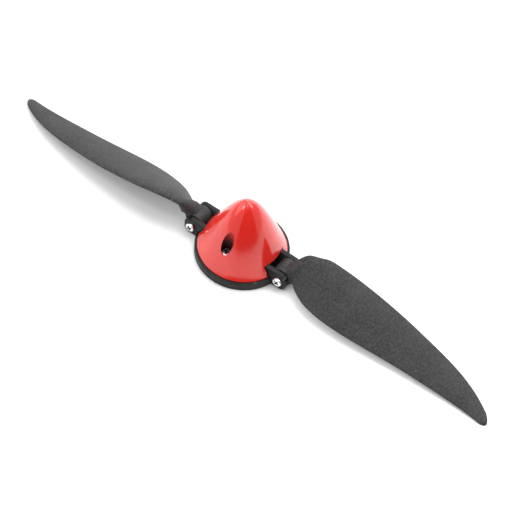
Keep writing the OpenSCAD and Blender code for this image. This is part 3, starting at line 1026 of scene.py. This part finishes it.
def threadedShank(radius, length, s, turns=40):
    # a real spiral: each row of points climbs one pitch per turn
    pitch, depth = s["threadPitch"] * mm, s["threadDepth"] * mm
    start, stop = -0.6 * mm, -(length - 0.3 * mm)
    rows = int((start - stop) / pitch * 6)
    outline = [start + (stop - start) * i / rows for i in range(rows + 1)]
    points = [(0, 0, 0.2 * mm)]
    rings = []

    def ring(radii, heights):
        first = len(points)
        for i in range(turns):
            angle = 2 * math.pi * i / turns
            points.append((radii[i] * math.cos(angle), radii[i] * math.sin(angle), heights[i]))
        rings.append(list(range(first, first + turns)))

    ring([radius] * turns, [0.2 * mm] * turns)
    ring([radius] * turns, [start + 0.05 * mm] * turns)
    for z in outline:
        radii = []
        for i in range(turns):
            phase = (z / pitch + i / turns) % 1
            wave = abs(phase * 2 - 1)
            fade = min(1.0, (start - z) / (0.5 * mm))
            radii.append(radius - depth * fade * min(1.0, max(0.0, 1.35 - 1.6 * wave)))
        ring(radii, [z] * turns)
    ring([radius * 0.82] * turns, [-length] * turns)
    points.append((0, 0, -length))
    faces = [(0, rings[0][i], rings[0][(i + 1) % turns]) for i in range(turns)]
    for a, b in zip(rings, rings[1:]):
        faces += [(a[i], b[i], b[(i + 1) % turns], a[(i + 1) % turns]) for i in range(turns)]
    faces += [(len(points) - 1, rings[-1][(i + 1) % turns], rings[-1][i]) for i in range(turns)]
    return pieceFrom("shank", points, faces)


def makeScrew(name, shankRadius, length, s, turnBy):
    radius, height, side = s["head"] * mm, s["headHeight"] * mm, s["side"] * mm
    outline = [(0, 0), (radius - 0.08 * mm, 0), (radius, 0.08 * mm), (radius, side)]
    flat = s["flat"] * radius
    dome = height - side - 0.06 * mm
    for t in np.linspace(0, math.pi / 2, 14)[1:]:
        outline.append((flat + (radius - flat) * math.cos(t), side + dome * math.sin(t)))
    outline += [(0.3 * radius, height - 0.02 * mm), (0, height)]
    head = turned(name, outline, 96)
    tool = shifted(crossTool(s), Matrix.Rotation(math.radians(turnBy), 4, "Z"))
    carved(head, tool)
    joined(head, threadedShank(shankRadius, length, s))
    softShading(head, 30)
    # faces inside the recess take the painted shade
    dress(head, nickelPaint, recessShadePaint)
    for face in head.data.polygons:
        middle = face.center
        inRecess = middle.z > 0.1 * mm and math.hypot(middle.x, middle.y) < s["armLong"] * 0.51 * mm and (
            middle.z < height - 0.12 * mm or abs(face.normal.z) < 0.75)
        face.material_index = 1 if inRecess else 0
    return head


pinRadius = 1.0 * mm
tapRadius = 1.1 * mm
underHead = rightScrewLow.y + screw["headHeight"] * mm
pinLength = rightScrewHigh.y - underHead
for name, node, at, turnBy in (
        ("hingeScrewRight", "hinge_screw_right", rightHinge, 62),
        ("hingeScrewLeft", "hinge_screw_left", leftHinge, 28)):
    piece = makeScrew(name, pinRadius, pinLength, screw, turnBy)
    piece.matrix_world = Matrix.Translation((at.x, underHead, at.z)) @ alongY
    mount(piece, "hub", "screw_steel", node)
tapSeat = wellScrewHigh.z - screw["headHeight"] * mm
for name, node, turnBy in (
        ("spinnerScrewFront", "spinner_screw_front", 20),
        ("spinnerScrewBack", "spinner_screw_back", 75)):
    low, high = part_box(node)
    piece = makeScrew(name, tapRadius, tapSeat - low.z, screw, turnBy)
    piece.matrix_world = Matrix.Translation(((low.x + high.x) / 2, (low.y + high.y) / 2, tapSeat))
    mount(piece, "hub", "screw_steel", node)
print("screws made")


# lock nuts and their nylon rings, sunk in the far lugs

nut = {
    "flats": 4.0,
    "body": 2.0,
    "lip": 3.7,                 # diameter of the rolled lip over the nylon ring
    "bore": 1.02,
    "ringBore": 1.45,
    "chamfer": 0.28,
    "roll": 0.22,
    "ringEdge": 0.12,
}


def makeNut(name, n):
    height = nutHigh.y - nutLow.y
    corner = n["flats"] / 2 / math.cos(math.pi / 6) * mm
    hexagon = slab(name, hexagonOf(n["flats"] * mm), n["body"] * mm, 0.05 * mm, 2)
    cut = n["chamfer"] * mm
    body, past, hair = n["body"] * mm, corner + 0.05 * mm, 0.01 * mm
    crown = turned("crown", [
        (0, -hair), (corner - cut, -hair), (past, cut * 0.7),
        (past, body - cut * 0.7), (corner - cut, body + hair), (0, body + hair)], 72)
    solid(hexagon, crown, "INTERSECT")
    lip = n["lip"] / 2 * mm
    roll = n["roll"] * mm
    lipOutline = [(0, 0.5 * mm), (lip, 0.5 * mm), (lip, height - roll)]
    lipOutline += [(lip - roll + roll * math.cos(t), height - roll + roll * math.sin(t))
                   for t in np.linspace(0.2, math.pi / 2, 6)]
    lipOutline += [(0, height)]
    joined(hexagon, turned("lip", lipOutline, 72))
    carved(hexagon, rod("bore", n["bore"] * mm, -mm, height + mm, 48),
           rod("seat", n["ringBore"] * mm, body, height + mm, 64))
    softShading(hexagon, 28)
    dress(hexagon, nickelPaint)
    return hexagon


def makeRing(name, outer, inner, height, edge):
    outline = rounded([(inner, 0), (outer, 0), (outer, height), (inner, height)], edge, 4)
    ring = turned(name, outline, 96)
    return softShading(ring, 40)


for side, at in (("Right", rightHinge), ("Left", leftHinge)):
    place = Matrix.Translation((at.x, nutLow.y, at.z)) @ alongBackY
    piece = makeNut("hingeNut" + side, nut)
    piece.matrix_world = place
    mount(piece, "hub", "screw_steel", "hinge_nut_" + side.lower())
    ring = makeRing("nutInsert" + side, nut["ringBore"] * mm, nut["bore"] * mm,
                    insertHigh.y - insertLow.y, nut["ringEdge"] * mm)
    ring.matrix_world = Matrix.Translation((at.x, insertLow.y, at.z)) @ alongBackY
    dress(ring, nylonPaint)
    mount(ring, "hub", "nylon", "nut_insert_" + side.lower())
print("nuts and rings made")


# collet, collar, and the washer and nut on the stem

drive = {
    "wide": 4.5,
    "stem": 3.0,
    "bore": 2.0,
    "boreDepth": 15.0,
    "slit": 0.6,
    "slitHeight": 8.0,
    "taper": 5.0,
    "grooveDepth": 0.22,
    "grooveWide": 0.5,
    "groovePitch": 0.75,
    "stemEdge": 0.4,
    "collarEdge": 0.3,
    "partEdge": 0.12,
}


def makeCollet(d):
    top = colletHigh.z
    outline = [(d["bore"] * mm + 0.2 * mm, 0), (d["wide"] * mm - 0.15 * mm, 0), (d["wide"] * mm, 0.15 * mm),
               (d["stem"] * mm, d["taper"] * mm)]
    height = d["taper"] * mm + 1.2 * mm
    stem, wide, edge = d["stem"] * mm, d["grooveWide"] * mm, d["stemEdge"] * mm
    while height < top - 0.8 * mm:                      # thread grooves up the stem
        outline += [(stem, height), (stem - d["grooveDepth"] * mm, height + wide / 2),
                    (stem, height + wide)]
        height += d["groovePitch"] * mm
    outline += [(stem, top - edge), (stem - edge, top), (0, top), (0, d["boreDepth"] * mm),
                (d["bore"] * mm, d["boreDepth"] * mm), (d["bore"] * mm, 0.2 * mm)]
    piece = turned("colletSpindle", outline, 72)
    for turnBy in (90, 210, 330):
        slit = block("slit", (0, -d["slit"] / 2 * mm, -mm),
                     (2 * d["wide"] * mm, d["slit"] / 2 * mm, d["slitHeight"] * mm))
        carved(piece, shifted(slit, Matrix.Rotation(math.radians(turnBy), 4, "Z")))
    return softShading(piece, 28)


colletPiece = makeCollet(drive)
dress(colletPiece, aluminiumPaint)
mount(colletPiece, "hub", "turned_aluminium", "collet_spindle")

collarRadius, collarHeight = collarHigh.y, collarHigh.z - collarLow.z
edge = drive["collarEdge"] * mm
collarPiece = softShading(turned("clampCollar", [
    (drive["wide"] * mm + 0.01 * mm, 0), (collarRadius - edge, 0), (collarRadius, edge),
    (collarRadius, collarHeight - edge), (collarRadius - edge, collarHeight),
    (drive["stem"] * mm + 0.01 * mm, collarHeight)], 96), 25)
dress(collarPiece, aluminiumPaint)
mount(collarPiece, "hub", "turned_aluminium", "clamp_collar")

# the stem's washer and nut keep their shape from the model, with their edges broken
for node in ("spindle_washer", "spindle_nut"):
    part = nodes[node]
    dress(part, nickelPaint)
    breakEdges = part.modifiers.new("brokenEdges", "BEVEL")
    breakEdges.width = drive["partEdge"] * mm
    breakEdges.segments = 2
    breakEdges.limit_method = "ANGLE"
    breakEdges.angle_limit = math.radians(50)
print("drive pieces made")


# table, light and camera

stage = {
    "floorColour": (0.93, 0.93, 0.925),
    "floorHalf": 1.6,           # metres, and so is the size of the table's patches
    "floorDim": 0.985,          # the table's darker patches, beside its colour
    "floorCloud": 0.12,
    "world": (0.98, 0.985, 1.0),
    "worldDark": (0.12, 0.12, 0.12),
    "worldStrength": 0.74,
    "darkFromTo": (-84, -4),    # compass angles of the room's darker side
    "darkUpTo": 50,
    "sideBlend": 0.05,
    "upBlend": 0.06,
}

floorPaint, tree, shader, spots = newPaint("paleTable")
cloud = mottle(tree, spots, stage["floorCloud"], 3)
dimmer = tuple(v * stage["floorDim"] for v in stage["floorColour"])
feed(tree, blendOf(tree, cloud, dimmer, stage["floorColour"]), shader, "Base Color")
shader.inputs["Roughness"].default_value = 0.75
shader.inputs["Specular IOR Level"].default_value = 0.2
half = stage["floorHalf"]
corners = [(-half, -half, 0), (half, -half, 0), (half, half, 0), (-half, half, 0)]
floor = pieceFrom("tableTop", corners, [(0, 1, 2, 3)])
dress(floor, floorPaint)


def makeStudio(s):
    # pale walls all round, with one darker side between two compass angles
    world = bpy.data.worlds.new("studio")
    bpy.context.scene.world = world
    world.use_nodes = True
    tree = world.node_tree
    backdrop = tree.nodes["Background"]
    backdrop.inputs["Strength"].default_value = s["worldStrength"]
    way = tree.nodes.new("ShaderNodeTexCoord").outputs["Generated"]
    flat = tree.nodes.new("ShaderNodeVectorMath")
    flat.operation = "MULTIPLY"
    flat.inputs[1].default_value = (1, 1, 0)
    tree.links.new(way, flat.inputs[0])
    level = tree.nodes.new("ShaderNodeVectorMath")
    level.operation = "NORMALIZE"
    tree.links.new(flat.outputs[0], level.inputs[0])
    toward = tree.nodes.new("ShaderNodeVectorMath")
    toward.operation = "DOT_PRODUCT"
    middle = math.radians(sum(s["darkFromTo"]) / 2)
    toward.inputs[1].default_value = (math.cos(middle), math.sin(middle), 0)
    tree.links.new(level.outputs[0], toward.inputs[0])
    half = math.cos(math.radians(s["darkFromTo"][1] - s["darkFromTo"][0]) / 2)
    side = spanOf(tree, toward.outputs["Value"], half - s["sideBlend"], half + s["sideBlend"])
    height = tree.nodes.new("ShaderNodeSeparateXYZ")
    tree.links.new(way, height.inputs[0])
    top = math.sin(math.radians(s["darkUpTo"]))
    under = spanOf(tree, height.outputs["Z"], top - s["upBlend"], top + s["upBlend"], 1.0, 0.0)
    both = tree.nodes.new("ShaderNodeMath")
    both.operation = "MULTIPLY"
    tree.links.new(side, both.inputs[0])
    tree.links.new(under, both.inputs[1])
    feed(tree, blendOf(tree, both.outputs["Value"], s["world"], s["worldDark"]), backdrop, "Color")


makeStudio(stage)

# each soft box: compass angle, height angle, distance, width, height, power
softBoxes = {
    "keyBehind": (88, 66, 0.95, 1.00, 0.80, 8.5),
    "boxLeft": (-124, 46, 0.95, 0.26, 0.26, 1.3),
    "boxRight": (28, 46, 0.95, 0.26, 0.26, 1.2),
    "fillFront": (-162, 34, 1.00, 1.10, 0.80, 3.6),
    "boxTop": (-84, 74, 1.00, 0.16, 0.16, 0.9),
    "sweepBehind": (107, 13, 1.00, 1.30, 0.30, 3.0),
}


def softBox(name, compass, height, distance, wide, tall, power):
    lamp = bpy.data.lights.new(name, "AREA")
    lamp.shape = "RECTANGLE"
    lamp.size, lamp.size_y = wide, tall
    lamp.energy = power
    place = bpy.data.objects.new(name, lamp)
    a, e = math.radians(compass), math.radians(height)
    spot = Vector((math.cos(a) * math.cos(e), math.sin(a) * math.cos(e), math.sin(e))) * distance
    aim = Vector((0, 0, 0.01))
    turn = (aim - spot).to_track_quat("-Z", "Y").to_matrix().to_4x4()
    place.matrix_world = Matrix.Translation(spot) @ turn
    bpy.context.scene.collection.objects.link(place)


for name, numbers in softBoxes.items():
    softBox(name, *numbers)

camera = {
    "compass": 28.289,          # where its right-hand side points, from +X towards +Y
    "tip": 53.505,              # degrees above the table that it looks down from
    "roll": 8.726,
    "distance": 556.87,
    "shiftRight": -6.084,       # where the origin stands in the view, in millimetres
    "shiftUp": 1.947,
    "lens": 93.38,
}


def placeCamera(c):
    a, e, roll = (math.radians(c[k]) for k in ("compass", "tip", "roll"))
    right = Vector((math.cos(a), math.sin(a), 0))
    up = Vector((-math.sin(a) * math.sin(e), math.cos(a) * math.sin(e), math.cos(e)))
    back = Vector((math.sin(a) * math.cos(e), -math.cos(a) * math.cos(e), math.sin(e)))
    across = right * math.cos(roll) + up * math.sin(roll)
    upward = -right * math.sin(roll) + up * math.cos(roll)
    spot = (back * c["distance"] - across * c["shiftRight"] - upward * c["shiftUp"]) * mm
    eye = bpy.data.objects.new("camera", bpy.data.cameras.new("camera"))
    turn = Matrix((across, upward, back)).transposed()
    eye.matrix_world = Matrix.Translation(spot) @ turn.to_4x4()
    eye.data.sensor_width = 36
    eye.data.lens = c["lens"]
    eye.data.clip_start = 0.01
    eye.data.clip_end = 20
    bpy.context.scene.collection.objects.link(eye)
    bpy.context.scene.camera = eye


placeCamera(camera)
bpy.context.scene.view_settings.view_transform = "Standard"
print("table, light and camera set")
